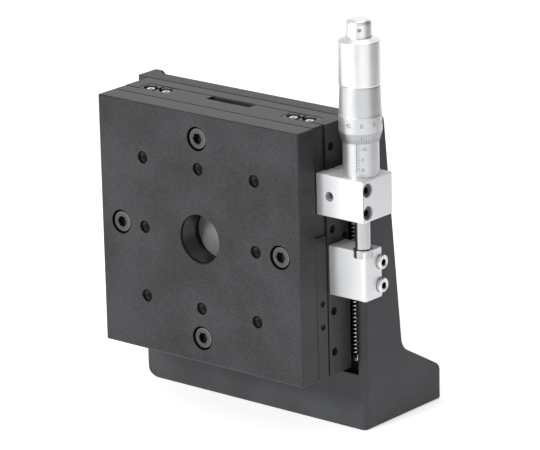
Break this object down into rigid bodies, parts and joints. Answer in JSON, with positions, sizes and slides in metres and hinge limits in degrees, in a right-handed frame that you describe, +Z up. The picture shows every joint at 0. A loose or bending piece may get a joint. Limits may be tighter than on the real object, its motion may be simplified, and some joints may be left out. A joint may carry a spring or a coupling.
{
  "type": "vertical micrometer stage",
  "caption": "Vertical linear stage: a square drilled table slides up and down on crossed-roller ways in front of a ribbed angle bracket, driven by a micrometer head at its side.",
  "frame": {"origin": "centre of the foot's underside", "axes": "+X to the micrometer's side, -Y is the way the table faces, +Z up along the travel"},
  "size_m": [0.1608, 0.096, 0.209],
  "materials": {
    "bracket_coating": "matte dark coating over a casting",
    "black_anodised": "fine ground plates, black anodised",
    "rail_steel": "ground bearing steel, blackened",
    "black_screw": "black oxide",
    "bright_screw": "bright stainless",
    "block_silver": "clear anodised, fine satin",
    "satin_chrome": "satin chrome with fine graduations",
    "polished_chrome": "polished",
    "tool_steel": "hardened and ground",
    "spring_steel": "bright spring wire",
    "cage_brass": "stamped strip"
  },
  "bodies": {
    "root": {"bracket": "bracket_coating", "base_plate": "black_anodised", "base_screws": "black_screw", "base_dowels": "tool_steel", "base_rail_left": "rail_steel", "base_rail_right": "rail_steel", "base_rail_screws": "black_screw", "base_stop_screws": "bright_screw", "preload_screws": "black_screw", "anvil_block": "block_silver", "anvil_button": "tool_steel", "anvil_screws": "bright_screw", "lower_spring_pins": "tool_steel", "return_spring": "spring_steel", "inner_spring": "spring_steel"},
    "table": {"table_plate": "black_anodised", "table_screws": "black_screw", "carriage": "black_anodised", "carriage_rail_left": "rail_steel", "carriage_rail_right": "rail_steel", "carriage_rail_screws": "black_screw", "carriage_stop_screws": "bright_screw", "carriage_set_screws": "black_screw", "upper_spring_pins": "tool_steel", "holder_block": "block_silver", "holder_screws": "black_screw", "clamp_screw": "black_screw", "micrometer_stem": "tool_steel", "scale_sleeve": "satin_chrome", "adjusting_nut": "tool_steel"},
    "thimble": {"spindle": "tool_steel", "thimble": "satin_chrome", "knob_cover": "polished_chrome", "end_cap": "polished_chrome"},
    "cage_left": {"roller_cage_left": "cage_brass", "rollers_left": "tool_steel"},
    "cage_right": {"roller_cage_right": "cage_brass", "rollers_right": "tool_steel"}
  },
  "joints": [
    {"name": "thimble_turn", "type": "hinge", "parent": "root", "child": "thimble", "pos_m": [0.08, -0.04125, 0.1], "axis": [0, 0, 1], "range_deg": [-9000, 9000]},
    {"name": "table_slide", "type": "slide", "parent": "root", "child": "table", "axis": [0, 0, 1], "range_m": [-0.0125, 0.0125], "deforming": ["return_spring", "inner_spring"]},
    {"name": "cage_left_slide", "type": "slide", "parent": "root", "child": "cage_left", "axis": [0, 0, 1], "range_m": [-0.00625, 0.00625]},
    {"name": "cage_right_slide", "type": "slide", "parent": "root", "child": "cage_right", "axis": [0, 0, 1], "range_m": [-0.00625, 0.00625]}
  ],
  "couplings": [
    {"joint": "thimble_turn", "follows": "table_slide", "rad_per_m": -12566},
    {"joint": "cage_left_slide", "follows": "table_slide", "ratio": 0.5},
    {"joint": "cage_right_slide", "follows": "table_slide", "ratio": 0.5}
  ]
}
